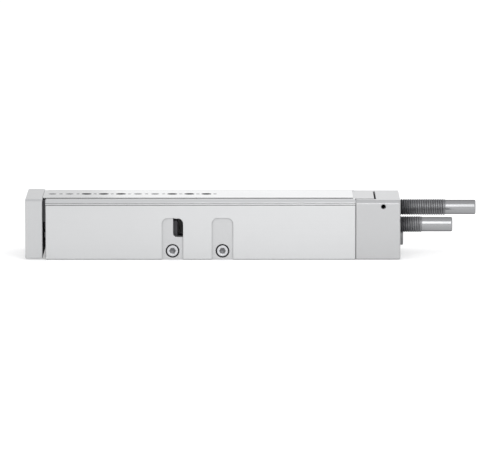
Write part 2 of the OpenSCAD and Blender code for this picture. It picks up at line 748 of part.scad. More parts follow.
module yoke_plate() color("#d0d1d3") difference() {
    mid_y = body_w / 2;
    hole_z = yoke_lift + 9.6;
    intersection() {
        along(yoke_front, yoke_back) chamfered(2 * mid_y, yoke_lift, slide_top, 0.8, yoke_chamfer);
        broken_ends(yoke_front, yoke_back, 2 * mid_y, yoke_lift, slide_top, edge_break);
    }
    // screws into the slide and into the piston rod
    for (p = slide_end_holes) {
        bar(yoke_front, yoke_back + over, p[0], p[1], m4[0] + 0.4);
        bar(yoke_front - over, yoke_front + m4_sink, p[0], p[1], m4[1] + 0.5);
    }
    bar(yoke_front, yoke_back + over, cyl_y, cyl_z, m5[0] + 0.5);
    bar(yoke_front - over, yoke_front + m5_sink, cyl_y, cyl_z, m5[1] + 1);
    bar(yoke_back - rod_sink, yoke_back + over, cyl_y, cyl_z, rod_d + 0.4);
    // tapped holes and centring bores for the load
    for (s = [-1, 1], z = [0, yoke_pitch_z])
        bar(yoke_front - over, yoke_back + over, s * yoke_pitch_y / 2, hole_z + z, tap6);
    for (s = [-1, 1]) bar(yoke_front - over, yoke_front + pin_depth, s * yoke_pin_pitch / 2,
        hole_z + yoke_pin_rise, pin_d);
}

module yoke_screws() color("#8d9096")
    for (p = slide_end_holes)
        translate([yoke_front + m4_sink, p[0], p[1]]) rotate([0, -90, 0])
            cap_screw(m4, yoke_t - m4_sink + screw_grip);

module rod_screw() color("#8d9096")
    translate([yoke_front + m5_sink, cyl_y, cyl_z]) rotate([0, -90, 0])
        cap_screw(m5, yoke_t - rod_sink - m5_sink + rod_grip);

// Bracket behind the slide: it carries the lower absorber and meets the upper one
module bracket_profile() {
    top = rail_top;
    main_z = floor_z + 0.8;
    chamfered(slide_w, top, block_top + bracket_proud, 0, slide_edge);
    polygon([[arm_y0, arm_z], [arm_y1, arm_z], [arm_y1, main_z], [flank_y, main_z],
        [flank_y, top + over], [-flank_y, top + over]]);
}

module end_bracket() color("#cdced0") difference() {
    along(slide_x, bracket_x) bracket_profile();
    bar(slide_x - over, bracket_x + over, lower_y, lower_z, absorber_d);
    for (p = slide_end_holes) {
        bar(slide_x - over, bracket_x + over, p[0], p[1], m4[0] + 0.4);
        bar(bracket_x - m4_sink, bracket_x + over, p[0], p[1], m4[1] + 0.3);
    }
}

module bracket_screws() color("#8d9096")
    for (p = slide_end_holes)
        translate([bracket_x - m4_sink, p[0], p[1]]) rotate([0, 90, 0])
            cap_screw(m4, bracket_l - m4_sink + screw_grip);

// Rod with a reduced end for the piston and a tapped front end
module piston_rod() color("#dfe1e4") difference() {
    r = rod_d / 2;
    spigot = 2.5;
    start = yoke_back - rod_sink;
    turned(0, cyl_y, cyl_z)
        polygon([[0, start], [r - 0.5, start], [r, start + 0.5], [r, piston_front],
            [spigot, piston_front], [spigot, piston_rear + 0.5], [0, piston_rear + 0.5]]);
    bar(start - over, start + rod_grip + drill_spare, cyl_y, cyl_z, m5[0] + screw_play);
}

module piston() color("#a9adb2") difference() {
    r = bore_r - 0.4;
    turned(piston_front, cyl_y, cyl_z)
        polygon([[2.5, 0], [r, 0], [r, 1.2], [r - 2, 1.2], [r - 2, 3.2], [r, 3.2], [r, 4.4],
            [r - 1, 4.4], [r - 1, 7.4], [r, 7.4], [r, 8], [r - 1.6, 8], [r - 1.6, 10], [r, 10],
            [r, piston_l - 2.8], [r - 2, piston_l - 2.8], [r - 2, piston_l - 0.8],
            [r, piston_l - 0.8], [r, piston_l], [2.5, piston_l]]);
    bar(piston_rear - 3.6, piston_rear + over, cyl_y, cyl_z, 9.4);
}

module seal_ring(x) turned(x, cyl_y, cyl_z)
    polygon([[bore_r - 2.4, 0.1], [bore_r - 1, 0.1], [bore_r - 0.06, 0.9], [bore_r - 0.06, 1.2],
        [bore_r - 1, 1.9], [bore_r - 2.4, 1.9]]);

module piston_seals() color("#26272a") {
    seal_ring(piston_front + 1.2);
    seal_ring(piston_rear - 2.8);
}

module piston_ring() color("#8a6f4a") turned(piston_front + 4.4, cyl_y, cyl_z)
    polygon([[bore_r - 1.4, 0], [bore_r - joint_play, 0], [bore_r - joint_play, 3], [bore_r - 1.4, 3]]);

module piston_magnet() color("#55585d") turned(piston_front + 8, cyl_y, cyl_z)
    polygon([[bore_r - 2, 0], [bore_r - 0.5, 0], [bore_r - 0.5, 2], [bore_r - 2, 2]]);

module piston_nut() color("#8d9096") difference() {
    translate([piston_rear - 3.6, cyl_y, cyl_z]) rotate([0, 90, 0])
        cylinder(h = 3.2, d = 8 / cos(30), $fn = 6);
    bar(piston_rear - 5, piston_rear + over, cyl_y, cyl_z, 5);
}

// ---- ball cages ----

ball_places = [for (x = [-(cage_l - 10) / 2 : ball_pitch : (cage_l - 10) / 2]) x];
ball_shift = -(ball_places[0] + ball_places[len(ball_places) - 1]) / 2;

module cage_balls(side, d)
    for (x = ball_places) translate([x + ball_shift, side * ball_y, guide_z]) sphere(d = d);

// Strip with a round pocket for each ball
module cage(side) color("#b08d57") difference() {
    translate([0, side * ball_y, guide_z]) rotate([90, 0, 0])
        linear_extrude(cage_t, center = true) cage_outline();
    for (x = ball_places)
        cross_bar(side * ball_y - cage_t, side * ball_y + cage_t, x + ball_shift, guide_z, ball_d + 0.1);
}

module cage_outline() {
    l = cage_l / 2;
    h = cage_h / 2;
    c = 1;
    polygon([[-l + c, -h], [l - c, -h], [l, -h + c], [l, h - c], [l - c, h], [-l + c, h],
        [-l, h - c], [-l, -h + c]]);
}

module near_cage() cage(-1);
module far_cage() cage(1);
module near_balls() color("#f0f1f2") cage_balls(-1, ball_d);
module far_balls() color("#f0f1f2") cage_balls(1, ball_d);

housing();
near_rail();
far_rail();
rail_stops();
stop_block();
stop_screws();
rear_block();
rear_block_screws();
end_plug();
end_plug_seal();
channel_plug();
channel_seal();
rod_bearing();
rod_seal();
rod_wiper();
bearing_circlip();
guide_wipers();
wiper_screws();
upper_absorber();
absorber_lock_screw();
upper_plunger();
upper_buffer();
slide();
yoke_plate();
yoke_screws();
rod_screw();
end_bracket();
bracket_screws();
piston_rod();
piston();
piston_seals();
piston_ring();
piston_magnet();
piston_nut();
lower_absorber();
lower_plunger();
lower_buffer();
near_cage();
near_balls();
far_cage();
far_balls();
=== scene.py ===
import math

import bmesh
import bpy
import numpy as np
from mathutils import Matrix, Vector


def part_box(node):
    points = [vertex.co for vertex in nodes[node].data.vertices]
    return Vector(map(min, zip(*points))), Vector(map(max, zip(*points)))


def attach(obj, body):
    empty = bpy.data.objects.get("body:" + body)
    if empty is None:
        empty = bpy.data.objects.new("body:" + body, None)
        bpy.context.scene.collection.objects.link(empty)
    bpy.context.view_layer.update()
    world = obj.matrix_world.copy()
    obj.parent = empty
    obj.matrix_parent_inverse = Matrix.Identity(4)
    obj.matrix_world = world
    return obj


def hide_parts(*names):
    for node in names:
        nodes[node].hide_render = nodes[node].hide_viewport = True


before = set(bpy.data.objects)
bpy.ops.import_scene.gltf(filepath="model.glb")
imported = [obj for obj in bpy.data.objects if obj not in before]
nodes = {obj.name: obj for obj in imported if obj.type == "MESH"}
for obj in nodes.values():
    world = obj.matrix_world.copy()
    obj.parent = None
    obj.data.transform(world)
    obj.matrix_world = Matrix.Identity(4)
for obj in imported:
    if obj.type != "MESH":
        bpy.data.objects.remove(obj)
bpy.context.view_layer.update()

MM = 0.001
TURN = 2 * math.pi


# ---- turned shapes ----

def corners(node):
    """Lowest and highest corner of a CAD node, as arrays in metres."""
    low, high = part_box(node)
    return np.array(low), np.array(high)


def middle(node):
    """Centre of a CAD node's box."""
    low, high = corners(node)
    return (low + high) / 2


# Local +X is the axis of every turned shape; each entry turns it to one of the table's directions
DIRECTIONS = {
    "+x": np.array([[1, 0, 0], [0, 1, 0], [0, 0, 1]]),
    "-x": np.array([[-1, 0, 0], [0, -1, 0], [0, 0, 1]]),
    "+y": np.array([[0, -1, 0], [1, 0, 0], [0, 0, 1]]),
    "-y": np.array([[0, 1, 0], [-1, 0, 0], [0, 0, 1]]),
    "+z": np.array([[0, 0, -1], [0, 1, 0], [1, 0, 0]]),
    "-z": np.array([[0, 0, 1], [0, 1, 0], [-1, 0, 0]]),
}


def skin(along, radius, angle):
    """Turned skin: ring k, column j lies at along[k, j] on the axis and at radius[k, j] from it,
    turned by angle[j]; neighbouring rings and columns are joined by four-sided faces."""
    count, columns = radius.shape
    points = np.empty((count, columns, 3))
    points[..., 0] = along
    points[..., 1] = radius * np.cos(angle)
    points[..., 2] = radius * np.sin(angle)
    first = (np.arange(count - 1)[:, None] * columns + np.arange(columns - 1)[None, :]).ravel()
    faces = np.stack([first, first + 1, first + 1 + columns, first + columns], axis=1)
    return points.reshape(-1, 3), faces


def placed(part, at, direction):
    """The part with its local +X turned to a direction and its origin carried to a point."""
    points, *rest = part
    return (points @ DIRECTIONS[direction].T + np.asarray(at), *rest)


SHARP = math.radians(32)


def piece(name, parts, body, slot, stands_for=()):
    """Welds closed parts into one object: doubles merged, faces outward, edges turned by
    more than SHARP kept crisp, placed on a body with its finish. A part may carry a number for each
    face: 1 gives that face the cut_thread finish, darker and rougher than the rest."""
    mesh = bpy.data.meshes.new(name)
    made = bmesh.new()
    for points, faces, *kind in parts:
        single = bpy.data.meshes.new("single")
        single.from_pydata(points.tolist(), [], faces.tolist())
        if kind:
            single.polygons.foreach_set("material_index", kind[0].astype(np.int32))
        shell = bmesh.new()
        shell.from_mesh(single)
        bmesh.ops.remove_doubles(shell, verts=shell.verts, dist=2e-7)
        if shell.calc_volume(signed=True) < 0:
            bmesh.ops.reverse_faces(shell, faces=shell.faces)
        shell.to_mesh(single)
        shell.free()
        made.from_mesh(single)
        bpy.data.meshes.remove(single)
    made.to_mesh(mesh)
    made.free()
    mesh.shade_smooth()
    mesh.set_sharp_from_angle(angle=SHARP)
    obj = bpy.data.objects.new(name, mesh)
    bpy.context.scene.collection.objects.link(obj)
    mesh.materials.append(FINISHES[slot])
    if any(len(part) > 2 for part in parts):
        mesh.materials.append(FINISHES["cut_thread"])
    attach(obj, body)
    if stands_for:
        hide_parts(*stands_for)


def hexagon(across_flats, angle):
    """Distance from the axis to the side of a hexagon, by angle."""
    return across_flats / 2 / np.cos(np.mod(angle, math.pi / 3) - math.pi / 6)


def rings(steps, angle):
    """Stations and radii of a turned shape's rings from (along, radius) steps; a radius may be a
    number or an array over the angle, so a round rim can meet a hexagonal socket."""
    along = np.array([np.broadcast_to(a, angle.shape) for a, _ in steps])
    radius = np.array([np.broadcast_to(r, angle.shape) for _, r in steps])
    return along, radius


def profile(steps, angle):
    """Turned skin from (along, radius) steps."""
    return skin(*rings(steps, angle), angle)


def rounded(a0, r0, a1, r1, count=4):
    """Quarter round from (a0, r0), where it runs along the axis, to (a1, r1), where it runs
    towards it."""
    return [(a0 + (a1 - a0) * math.sin(t), r0 + (r1 - r0) * (1 - math.cos(t)))
            for t in np.linspace(0, math.pi / 2, count + 1)]


THREAD_ROOT = 0.25      # share of the pitch


def thread(a0, a1, outer, pitch, depth, angle, lead, crest=0.125):
    """External thread between two stations. Each column carries the four corners of every turn
    (crest start, crest end, root start, root end), moved along by its own share of the pitch, and
    clipped to the two stations; within lead of a station the radius falls towards the root. The
    crest is a share of the pitch, and the two flanks have what crest and root leave."""
    turns = int((a1 - a0) / pitch) + 2
    flank = (1 - crest - THREAD_ROOT) / 2
    corner = np.array([0.0, crest, crest + flank, crest + flank + THREAD_ROOT]) * pitch
    base = (np.arange(turns)[:, None] * pitch + corner[None, :]).ravel()
    height = np.tile([0.0, 0.0, 1.0, 1.0], turns)
    along = a0 - pitch + base[:, None] + pitch * (angle / TURN)[None, :]
    radius = outer - depth * np.broadcast_to(height[:, None], along.shape)
    along = np.clip(along, a0, a1)
    edge = np.minimum(along - a0, a1 - along)
    limit = outer - depth * (1 - np.clip(edge / lead, 0, 1))
    radius = np.minimum(radius, limit)
    ring0 = np.full((1, angle.size), a0)
    ring1 = np.full((1, angle.size), a1)
    along = np.concatenate([ring0, along, ring1])
    end = np.full((1, angle.size), outer - depth)
    radius = np.concatenate([end, radius, end])
    return along, radius


HEAD_COLUMNS = 72
SHANK_COLUMNS = 24


def cap_screw(size, length, pitch):
    """Socket head cap screw with its head's seat at the local origin and its head towards +X:
    a threaded shank with a chamfered tip, a head with rounded edges and fine flutes round its
    side, and a hexagonal socket with a drilled bottom."""
    shank, head, height, key = size
    angle = np.linspace(0, TURN, HEAD_COLUMNS + 1)
    core = shank / 2
    depth = 0.61 * pitch
    coarse = np.linspace(0, TURN, SHANK_COLUMNS + 1)
    along, radius = thread(-length + 0.5 * MM, 0.0, core, pitch, depth, coarse, lead=0.4 * MM)
    tip_along, tip_radius = rings([(-length, 0.0), (-length, core - depth - 0.4 * MM)], coarse)
    neck_along, neck_radius = rings([(0.3 * MM, core - depth), (0.3 * MM, 0.0)], coarse)
    body = skin(np.concatenate([tip_along, along, neck_along]),
                np.concatenate([tip_radius, radius, neck_radius]), coarse)
    flutes = head / 2 - 0.11 * MM * (0.5 - 0.5 * np.cos(angle * HEAD_COLUMNS / 3))
    socket = hexagon(key, angle)
    side = head / 2 - 0.12 * MM
    rim = head / 2 - 0.5 * MM
    floor = height * 0.45
    steps = [(0.0, 0.0), (0.0, head / 2 - 0.3 * MM), (0.25 * MM, side), (0.45 * MM, flutes),
             (height - 0.75 * MM, flutes), (height - 0.6 * MM, side)]
    steps += rounded(height - 0.5 * MM, side, height, rim)
    steps += [(height, key * 0.62), (height - 0.22 * MM, np.minimum(socket, key * 0.6)),
              (height - 0.3 * MM, socket), (floor, socket), (floor - 0.35 * MM, key * 0.3),
              (floor - 0.75 * MM, 0.0)]
    return [body, profile(steps, angle)]


def spots(node, axis, at_high, reach):
    """Centres of a node's separate shanks: its points in the end plane across an axis, grouped by
    nearness; each group gives the middle of its own box."""
    mesh = nodes[node].data
    points = np.empty(len(mesh.vertices) * 3)
    mesh.vertices.foreach_get("co", points)
    points = points.reshape(-1, 3)
    level = points[:, axis].max() if at_high else points[:, axis].min()
    rim = points[np.abs(points[:, axis] - level) < 0.02 * MM]
    centres = []
    while len(rim):
        near = np.linalg.norm(rim - rim[0], axis=1) < reach
        group = rim[near]
        centres.append((group.min(axis=0) + group.max(axis=0)) / 2)
        rim = rim[~near]
    return centres


def hole_thread(radius, depth, pitch, length):
    """Internal thread as a ridge carried along a helix round local +X: three corners (two just
    behind the wall, one at the crest) follow the turns, and the ridge fades out at both ends."""
    turns = length / pitch
    t = np.linspace(0, turns, int(turns * SHANK_COLUMNS) + 1)
    fade = np.clip(np.minimum(t, turns - t) * 1.5, 0.02, 1)
    wall = np.full_like(t, radius + 0.03 * MM)
    crest = radius - depth * fade
    foot = pitch * 0.42 * fade
    path = np.stack([np.stack([t * pitch - foot, wall], 1), np.stack([t * pitch, crest], 1),
                     np.stack([t * pitch + foot, wall], 1)], axis=1)
    angle = t * TURN
    points = np.empty((t.size, 3, 3))
    points[..., 0] = -path[..., 0]
    points[..., 1] = path[..., 1] * np.cos(angle)[:, None]
    points[..., 2] = path[..., 1] * np.sin(angle)[:, None]
    first = np.arange(t.size - 1)[:, None] * 3
    here = np.arange(3)[None, :]
    following = (here + 1) % 3
    quads = np.stack([first + here, first + following, first + following + 3, first + here + 3],
                     axis=2).reshape(-1, 4)
    last = (t.size - 1) * 3
    ends = np.array([[0, 2, 1, 1], [last, last + 1, last + 2, last + 2]])
    return points.reshape(-1, 3), np.concatenate([quads, ends])


# ---- shader groups ----

def group(name, inputs, outputs):
    """Empty node group with named sockets and its two end nodes."""
    tree = bpy.data.node_groups.new(name, "ShaderNodeTree")
    for label, kind, value in inputs:
        socket = tree.interface.new_socket(label, in_out="INPUT", socket_type=kind)
        if value is not None:
            socket.default_value = value
    for label, kind in outputs:
        tree.interface.new_socket(label, in_out="OUTPUT", socket_type=kind)
    return tree, tree.nodes.new("NodeGroupInput"), tree.nodes.new("NodeGroupOutput")


def new(tree, kind, **settings):
    """Node of a kind, with attributes set by name."""
    node = tree.nodes.new(kind)
    for key, value in settings.items():
        setattr(node, key, value)
    return node


def math_node(tree, operation, a, b=None, clamp=False):
    """Math node on two values or sockets."""
    node = new(tree, "ShaderNodeMath", operation=operation, use_clamp=clamp)
    for socket, value in zip(node.inputs, (a, b)):
        if isinstance(value, bpy.types.NodeSocket):
            tree.links.new(value, socket)
        elif value is not None:
            socket.default_value = value
    return node.outputs[0]


FLOAT, VECTOR, COLOUR = "NodeSocketFloat", "NodeSocketVector", "NodeSocketColor"

EDGE_SPREAD = 5.0       # how soon a turned normal counts as a full edge
LEAST_RUBBED = 0.15     # share of an edge that is rubbed everywhere
FACING = 0.95           # least share of a normal along Y for a face turned to the front or back
CHANGE_ROUGHENS = 1.5   # roughness added by the lines' and blotches' change of tone
EDGES_POLISH = 0.08     # roughness taken off on rubbed edges
CORNERS_ROUGHEN = 0.4   # roughness added where the painted shade lies
# Near-black that the painted shade in corners, joints and sunk floors darkens the colour towards
PAINTED_SHADE_COLOUR = (0.05, 0.05, 0.055, 1)
RELIEF = 0.02 * MM      # height of the low relief


def make_tool_lines():
    """Fine lines left by drawing, milling or turning: noise stretched by a scale for each axis,
    given as one value about zero."""
    tree, given, result = group("tool_lines", [("Scale", VECTOR, (4, 900, 900)),
                                               ("Contrast", FLOAT, 1.0)], [("Value", FLOAT)])
    place = new(tree, "ShaderNodeTexCoord")
    stretch = new(tree, "ShaderNodeVectorMath", operation="MULTIPLY")
    noise = new(tree, "ShaderNodeTexNoise")
    noise.inputs["Scale"].default_value = 1.0
    noise.inputs["Detail"].default_value = 3.0
    tree.links.new(place.outputs["Object"], stretch.inputs[0])
    tree.links.new(given.outputs["Scale"], stretch.inputs[1])
    tree.links.new(stretch.outputs[0], noise.inputs["Vector"])
    centred = math_node(tree, "SUBTRACT", noise.outputs["Fac"], 0.5)
    tree.links.new(math_node(tree, "MULTIPLY", centred, given.outputs["Contrast"]),
                   result.inputs["Value"])
    return tree


def make_blotches():
    """Even mottling such as blasting or anodising leaves: a fine and a broad noise added up,
    given as one value about zero."""
    tree, given, result = group("blotches", [("Fine", FLOAT, 2500.0), ("Broad", FLOAT, 18.0),
                                             ("Share", FLOAT, 0.5)], [("Value", FLOAT)])
    place = new(tree, "ShaderNodeTexCoord")
    values = []
    for label, detail in (("Fine", 2.0), ("Broad", 4.0)):
        noise = new(tree, "ShaderNodeTexNoise")
        noise.inputs["Detail"].default_value = detail
        tree.links.new(place.outputs["Object"], noise.inputs["Vector"])
        tree.links.new(given.outputs[label], noise.inputs["Scale"])
        values.append(math_node(tree, "SUBTRACT", noise.outputs["Fac"], 0.5))
    share = given.outputs["Share"]
    rest = math_node(tree, "SUBTRACT", 1.0, share)
    total = math_node(tree, "ADD", math_node(tree, "MULTIPLY", values[0], share),
                      math_node(tree, "MULTIPLY", values[1], rest))
    tree.links.new(total, result.inputs["Value"])
    return tree


def make_rubbed_edges():
    """Bright rubbed edges: where the rounded normal leaves the true one, broken up by noise."""
    tree, given, result = group("rubbed_edges", [("Radius", FLOAT, 0.0004),
                                                 ("Breakup", FLOAT, 300.0)], [("Mask", FLOAT)])
    soft = new(tree, "ShaderNodeBevel", samples=4)
    true = new(tree, "ShaderNodeNewGeometry")
    dot = new(tree, "ShaderNodeVectorMath", operation="DOT_PRODUCT")
    place = new(tree, "ShaderNodeTexCoord")
    noise = new(tree, "ShaderNodeTexNoise")
    noise.inputs["Detail"].default_value = 3.0
    tree.links.new(given.outputs["Radius"], soft.inputs["Radius"])
    tree.links.new(soft.outputs["Normal"], dot.inputs[0])
    tree.links.new(true.outputs["Normal"], dot.inputs[1])
    tree.links.new(place.outputs["Object"], noise.inputs["Vector"])
    tree.links.new(given.outputs["Breakup"], noise.inputs["Scale"])
    turned = math_node(tree, "SUBTRACT", 1.0, dot.outputs["Value"])
    wide = math_node(tree, "MULTIPLY", turned, EDGE_SPREAD, clamp=True)
    broken = math_node(tree, "ADD", noise.outputs["Fac"], LEAST_RUBBED, clamp=True)
    tree.links.new(math_node(tree, "MULTIPLY", wide, broken), result.inputs["Mask"])
    return tree


def make_corner_shade():
    """Painted shade in holes, slots, inner corners and narrow joints: how much of the part itself
    lies within reach, or of any part within the joint reach. Joints count on faces turned along the
    axes that have a joint side of one."""
    tree, given, result = group("corner_shade", [("Reach", FLOAT, 0.01), ("Joint", FLOAT, 0.0015),
                                                 ("Joint Share", FLOAT, 1.0),
                                                 ("Joint Side", VECTOR, (1, 1, 1))],
                                [("Mask", FLOAT)])
    own = new(tree, "ShaderNodeAmbientOcclusion", samples=8, only_local=True)
    near = new(tree, "ShaderNodeAmbientOcclusion", samples=8)
    tree.links.new(given.outputs["Reach"], own.inputs["Distance"])
    tree.links.new(given.outputs["Joint"], near.inputs["Distance"])
    corner = math_node(tree, "SUBTRACT", 1.0, own.outputs["AO"])
    joint = math_node(tree, "MULTIPLY", math_node(tree, "SUBTRACT", 1.0, near.outputs["AO"]),
                      given.outputs["Joint Share"])
    place = new(tree, "ShaderNodeTexCoord")
    turned = new(tree, "ShaderNodeVectorMath", operation="ABSOLUTE")
    side = new(tree, "ShaderNodeVectorMath", operation="DOT_PRODUCT")
    tree.links.new(place.outputs["Normal"], turned.inputs[0])
    tree.links.new(turned.outputs[0], side.inputs[0])
    tree.links.new(given.outputs["Joint Side"], side.inputs[1])
    joint = math_node(tree, "MULTIPLY", joint, side.outputs["Value"])
    tree.links.new(math_node(tree, "MAXIMUM", corner, joint, clamp=True), result.inputs["Mask"])
    return tree


def make_sunk_faces():
    """Painted shade on the floors of milled pockets and grooves, which are also made rougher: faces
    turned to the front or back that lie between two distances from the middle plane."""
    tree, given, result = group("sunk_painted_shade", [("Deepest", FLOAT, 0.0), ("Level", FLOAT, 0.03),
                                               ("Share", FLOAT, 0.5)], [("Mask", FLOAT)])
    place = new(tree, "ShaderNodeTexCoord")
    where = new(tree, "ShaderNodeSeparateXYZ")
    turned = new(tree, "ShaderNodeSeparateXYZ")
    tree.links.new(place.outputs["Object"], where.inputs[0])
    tree.links.new(place.outputs["Normal"], turned.inputs[0])
    depth = math_node(tree, "ABSOLUTE", where.outputs["Y"])
    inside = math_node(tree, "LESS_THAN", depth, given.outputs["Level"])
    outside = math_node(tree, "GREATER_THAN", depth, given.outputs["Deepest"])
    inside = math_node(tree, "MULTIPLY", inside, outside)
    facing = math_node(tree, "GREATER_THAN", math_node(tree, "ABSOLUTE", turned.outputs["Y"]),
                       FACING)
    both = math_node(tree, "MULTIPLY", inside, facing)
    tree.links.new(math_node(tree, "MULTIPLY", both, given.outputs["Share"]),
                   result.inputs["Mask"])
    return tree


def make_surface():
    """Colour and roughness of a worked surface: the plain colour shifted by lines and blotches,
    lightened on rubbed edges and darkened by painted shade in corners, and the roughness shifted
    with them."""
    inputs = [("Colour", COLOUR, (0.8, 0.8, 0.8, 1)), ("Edge Colour", COLOUR, (0.9, 0.9, 0.9, 1)),
              ("Roughness", FLOAT, 0.4), ("Lines", FLOAT, 0.0), ("Blotches", FLOAT, 0.0),
              ("Edges", FLOAT, 0.0), ("Corners", FLOAT, 0.0), ("Line Tone", FLOAT, 0.1),
              ("Blotch Tone", FLOAT, 0.1), ("Edge Tone", FLOAT, 0.5), ("Corner Tone", FLOAT, 0.3)]
    tree, given, result = group("surface", inputs, [("Colour", COLOUR), ("Roughness", FLOAT)])
    lines = math_node(tree, "MULTIPLY", given.outputs["Lines"], given.outputs["Line Tone"])
    mottling = math_node(tree, "MULTIPLY", given.outputs["Blotches"], given.outputs["Blotch Tone"])
    change = math_node(tree, "ADD", lines, mottling)
    tone = new(tree, "ShaderNodeHueSaturation")
    tree.links.new(math_node(tree, "ADD", change, 1.0), tone.inputs["Value"])
    tree.links.new(given.outputs["Colour"], tone.inputs["Color"])
    edge = new(tree, "ShaderNodeMix", data_type="RGBA")
    tree.links.new(math_node(tree, "MULTIPLY", given.outputs["Edges"], given.outputs["Edge Tone"],
                             clamp=True), edge.inputs["Factor"])
    tree.links.new(tone.outputs[0], edge.inputs[6])
    tree.links.new(given.outputs["Edge Colour"], edge.inputs[7])
    # Painted shade: the corners mask darkens the colour
    dark = new(tree, "ShaderNodeMix", data_type="RGBA")
    tree.links.new(math_node(tree, "MULTIPLY", given.outputs["Corners"],
                             given.outputs["Corner Tone"], clamp=True), dark.inputs["Factor"])
    tree.links.new(edge.outputs[2], dark.inputs[6])
    dark.inputs[7].default_value = PAINTED_SHADE_COLOUR
    tree.links.new(dark.outputs[2], result.inputs["Colour"])
    by_change = math_node(tree, "MULTIPLY", change, CHANGE_ROUGHENS)
    by_edges = math_node(tree, "MULTIPLY", given.outputs["Edges"], EDGES_POLISH)
    by_corners = math_node(tree, "MULTIPLY", given.outputs["Corners"], CORNERS_ROUGHEN)
    rough = math_node(tree, "ADD", given.outputs["Roughness"], by_change)
    rough = math_node(tree, "SUBTRACT", rough, by_edges)
    rough = math_node(tree, "ADD", rough, by_corners, clamp=True)
    tree.links.new(rough, result.inputs["Roughness"])
    return tree


TOOL_LINES = make_tool_lines()
BLOTCHES = make_blotches()
RUBBED_EDGES = make_rubbed_edges()
CORNER_SHADE = make_corner_shade()
SUNK_PAINTED_SHADE = make_sunk_faces()
SURFACE = make_surface()


def placed_group(tree, kind, **values):
    """One use of a shader group, with its own values."""
    node = new(tree, "ShaderNodeGroup", node_tree=kind)
    for label, value in values.items():
        node.inputs[label.replace("_", " ")].default_value = value
    return node


FINISHES = {}


def finish(name, colour, metallic, roughness, scale, line_tone=0.05, line_bump=0.2,
           fine=2500.0, broad=18.0, blotch_tone=0.08, blotch_bump=0.15, edge_tone=0.5,
           corner_reach=0.012, joint_reach=0.0015, joint_share=1.3, joint_side=(1, 1, 1),
           corner_tone=0.9, sunk=(), rounding=0.0, **shader):
    """A worked finish: lines, blotches, rubbed edges and painted shade in corners give the colour,
    the roughness and a low relief; sunk holds (deepest, level, share) for each set of floors with
    painted shade, and rounding softens the normals at edges. Other values go on the shader itself."""
    material = FINISHES[name] = bpy.data.materials.new(name)
    material.use_nodes = True
    tree = material.node_tree
    principled = tree.nodes["Principled BSDF"]
    lines = placed_group(tree, TOOL_LINES, Scale=scale)
    blotches = placed_group(tree, BLOTCHES, Fine=fine, Broad=broad)
    edges = placed_group(tree, RUBBED_EDGES)
    shade = placed_group(tree, CORNER_SHADE, Reach=corner_reach, Joint=joint_reach,
                         Joint_Share=joint_share, Joint_Side=joint_side)
    light = [min(1.0, c * 1.15 + 0.03) for c in colour]
    surface = placed_group(tree, SURFACE, Colour=(*colour, 1), Edge_Colour=(*light, 1),
                           Roughness=roughness, Line_Tone=line_tone, Blotch_Tone=blotch_tone,
                           Edge_Tone=edge_tone, Corner_Tone=corner_tone)
    tree.links.new(lines.outputs["Value"], surface.inputs["Lines"])
    tree.links.new(blotches.outputs["Value"], surface.inputs["Blotches"])
    tree.links.new(edges.outputs["Mask"], surface.inputs["Edges"])
    # Painted shade from nearby geometry, joined below by the painted shade of sunk floors
    painted_shade = shade.outputs["Mask"]
    for deepest, level, share in sunk:
        floors = placed_group(tree, SUNK_PAINTED_SHADE, Deepest=deepest, Level=level, Share=share)
        painted_shade = math_node(tree, "MAXIMUM", painted_shade, floors.outputs["Mask"])
    tree.links.new(painted_shade, surface.inputs["Corners"])
    tree.links.new(surface.outputs["Colour"], principled.inputs["Base Color"])
    tree.links.new(surface.outputs["Roughness"], principled.inputs["Roughness"])
    relief = new(tree, "ShaderNodeBump")
    relief.inputs["Strength"].default_value = 1.0
    relief.inputs["Distance"].default_value = RELIEF
    height = math_node(tree, "ADD",
                       math_node(tree, "MULTIPLY", lines.outputs["Value"], line_bump),
                       math_node(tree, "MULTIPLY", blotches.outputs["Value"], blotch_bump))
    tree.links.new(height, relief.inputs["Height"])
    if rounding:
        soft = new(tree, "ShaderNodeBevel", samples=6)
        soft.inputs["Radius"].default_value = rounding
        tree.links.new(soft.outputs["Normal"], relief.inputs["Normal"])
    tree.links.new(relief.outputs["Normal"], principled.inputs["Normal"])
    principled.inputs["Metallic"].default_value = metallic
    for label, value in shader.items():
        principled.inputs[label.replace("_", " ")].default_value = value


# Scales of the tool lines by axis: lines run along an axis with a low number. Drawn and ground
# parts have them along the table, milled ones fainter, turned ones round X, and the rest no grain
ALONG = (3, 1400, 1400)
MILLED = (40, 900, 900)
ROUND = (1600, 60, 60)
EVEN_FINE = (300, 300, 300)
EVEN = (200, 200, 200)
FLOORING = (2, 2, 2)
# Distances from the middle plane and the share of painted shade: window and slots, pocket floors,
# grooves
HOUSING_SUNK = ((0.0, 0.03, 0.9), (0.03, 0.034, 0.22), (0.034, 0.0344, 1.0))
# Painted shade in the housing's pockets and channel, and on its faces turned up, down or to the
# ends where other parts or the floor lie close
finish("anodised_housing", (0.59, 0.595, 0.60), 0.85, 0.38, ALONG, line_tone=0.05,
       blotch_tone=0.05, corner_tone=0.45, joint_share=2.6, joint_side=(1, 0, 1),
       sunk=HOUSING_SUNK, rounding=0.0008)
# Painted shade on the yoke's end faces in the narrow gap to the housing
finish("anodised_yoke", (0.545, 0.55, 0.555), 0.85, 0.38, ALONG, line_tone=0.05, blotch_tone=0.05,
       joint_reach=0.008, joint_share=1.5, joint_side=(1, 0, 0))
# Painted shade on the bracket's front and back faces next to the parts beside it
finish("anodised_bracket", (0.49, 0.493, 0.498), 0.85, 0.42, MILLED, line_tone=0.03,
       blotch_tone=0.06, joint_share=4.0, joint_side=(0, 1, 0))
finish("anodised_block", (0.48, 0.483, 0.488), 0.85, 0.42, MILLED, line_tone=0.03,
       blotch_tone=0.06, joint_side=(1, 0, 1), rounding=0.0014)
